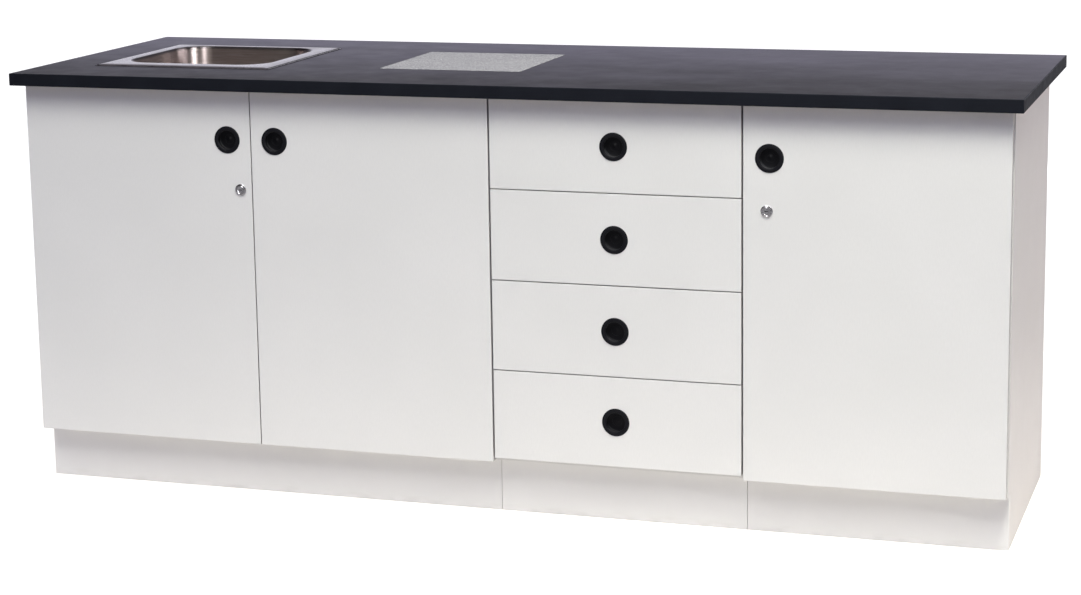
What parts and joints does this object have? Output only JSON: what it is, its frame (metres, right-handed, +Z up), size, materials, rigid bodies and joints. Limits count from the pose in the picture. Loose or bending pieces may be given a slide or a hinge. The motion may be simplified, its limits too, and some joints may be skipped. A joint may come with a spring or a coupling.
{
  "type": "lab bench",
  "caption": "Laboratory bench with a dark worktop, drop-in steel sink and heat-proof plate over a sink cabinet, a drawer cabinet and a cupboard",
  "frame": {"origin": "on the floor, at the middle of the worktop's outline", "axes": "+X along the bench to the right of a person who faces it, +Y towards its rear, +Z up; doors and drawers face -Y"},
  "size_m": [2.04, 0.714, 0.8635],
  "materials": {
    "melamine_white": "smooth white melamine-faced board with a fine pearl texture",
    "back_board_white": "thin white faced hardboard",
    "drawer_box_white": "white faced board with plain edges",
    "laminate_black": "matt black laminate with a faint texture",
    "edging_black": "black plastic edging, softly rounded",
    "plate_grey": "light grey stone-like plate with fine dark and pale specks",
    "sealant_black": "black sealant",
    "sink_steel": "brushed stainless steel, polished in the bowl",
    "waste_chrome": "polished steel",
    "trap_white": "white plastic",
    "pipe_grey": "grey plastic pipe",
    "pull_black": "black moulded plastic, fine matt grain",
    "lock_chrome": "bright nickel plating",
    "hardware_nickel": "nickel-plated steel",
    "runner_zinc": "zinc-plated steel",
    "fastener_zinc": "zinc-plated steel"
  },
  "bodies": {
    "cabinets": {"worktop": "laminate_black", "worktop_edging": "edging_black", "heatproof_plate": "plate_grey", "sealant_beads": "sealant_black", "sink_bowl": "sink_steel", "sink_clips": "fastener_zinc", "sink_waste": "waste_chrome", "bottle_trap": "trap_white", "waste_pipe": "pipe_grey", "top_rails": "melamine_white", "shelf": "melamine_white", "shelf_pins": "hardware_nickel", "hinge_arms": "hardware_nickel", "cabinet_runners": "runner_zinc", "lock_strike": "hardware_nickel", "cabinet_fasteners": "fastener_zinc", "sink_cabinet_side_left": "melamine_white", "sink_cabinet_side_right": "melamine_white", "sink_cabinet_floor": "melamine_white", "sink_cabinet_back": "back_board_white", "sink_cabinet_plinth": "melamine_white", "drawer_cabinet_side_left": "melamine_white", "drawer_cabinet_side_right": "melamine_white", "drawer_cabinet_floor": "melamine_white", "drawer_cabinet_back": "back_board_white", "drawer_cabinet_plinth": "melamine_white", "cupboard_side_left": "melamine_white", "cupboard_side_right": "melamine_white", "cupboard_floor": "melamine_white", "cupboard_back": "back_board_white", "cupboard_plinth": "melamine_white"},
    "door_left": {"door_left_panel": "melamine_white", "door_left_pull": "pull_black", "door_left_hinge_cups": "hardware_nickel", "door_left_lock_housing": "lock_chrome"},
    "door_right": {"door_right_panel": "melamine_white", "door_right_pull": "pull_black", "door_right_hinge_cups": "hardware_nickel"},
    "cupboard_door": {"cupboard_door_panel": "melamine_white", "cupboard_door_pull": "pull_black", "cupboard_door_hinge_cups": "hardware_nickel", "cupboard_door_lock_housing": "lock_chrome"},
    "door_left_lock": {"door_left_lock_core": "lock_chrome"},
    "cupboard_door_lock": {"cupboard_door_lock_core": "lock_chrome"},
    "drawer_1": {"drawer_1_front": "melamine_white", "drawer_1_box": "drawer_box_white", "drawer_1_pull": "pull_black", "drawer_1_runners": "runner_zinc"},
    "drawer_2": {"drawer_2_front": "melamine_white", "drawer_2_box": "drawer_box_white", "drawer_2_pull": "pull_black", "drawer_2_runners": "runner_zinc"},
    "drawer_3": {"drawer_3_front": "melamine_white", "drawer_3_box": "drawer_box_white", "drawer_3_pull": "pull_black", "drawer_3_runners": "runner_zinc"},
    "drawer_4": {"drawer_4_front": "melamine_white", "drawer_4_box": "drawer_box_white", "drawer_4_pull": "pull_black", "drawer_4_runners": "runner_zinc"}
  },
  "joints": [
    {"name": "door_left_hinge", "type": "hinge", "parent": "cabinets", "child": "door_left", "pos_m": [-0.99075, -0.323, 0.4715], "axis": [0, 0, -1], "range_deg": [0, 95]},
    {"name": "door_right_hinge", "type": "hinge", "parent": "cabinets", "child": "door_right", "pos_m": [-0.00925, -0.323, 0.4715], "axis": [0, 0, 1], "range_deg": [0, 90]},
    {"name": "cupboard_door_hinge", "type": "hinge", "parent": "cabinets", "child": "cupboard_door", "pos_m": [0.99075, -0.323, 0.4715], "axis": [0, 0, 1], "range_deg": [0, 95]},
    {"name": "door_left_lock_turn", "type": "hinge", "parent": "door_left", "child": "door_left_lock", "pos_m": [-0.525, -0.33, 0.6345], "axis": [0, -1, 0], "range_deg": [0, 90]},
    {"name": "cupboard_door_lock_turn", "type": "hinge", "parent": "cupboard_door", "child": "cupboard_door_lock", "pos_m": [0.54675, -0.33, 0.6345], "axis": [0, 1, 0], "range_deg": [0, 90]},
    {"name": "drawer_1_slide", "type": "slide", "parent": "cabinets", "child": "drawer_1", "axis": [0, -1, 0], "range_m": [0, 0.375]},
    {"name": "drawer_2_slide", "type": "slide", "parent": "cabinets", "child": "drawer_2", "axis": [0, -1, 0], "range_m": [0, 0.375]},
    {"name": "drawer_3_slide", "type": "slide", "parent": "cabinets", "child": "drawer_3", "axis": [0, -1, 0], "range_m": [0, 0.375]},
    {"name": "drawer_4_slide", "type": "slide", "parent": "cabinets", "child": "drawer_4", "axis": [0, -1, 0], "range_m": [0, 0.375]}
  ]
}
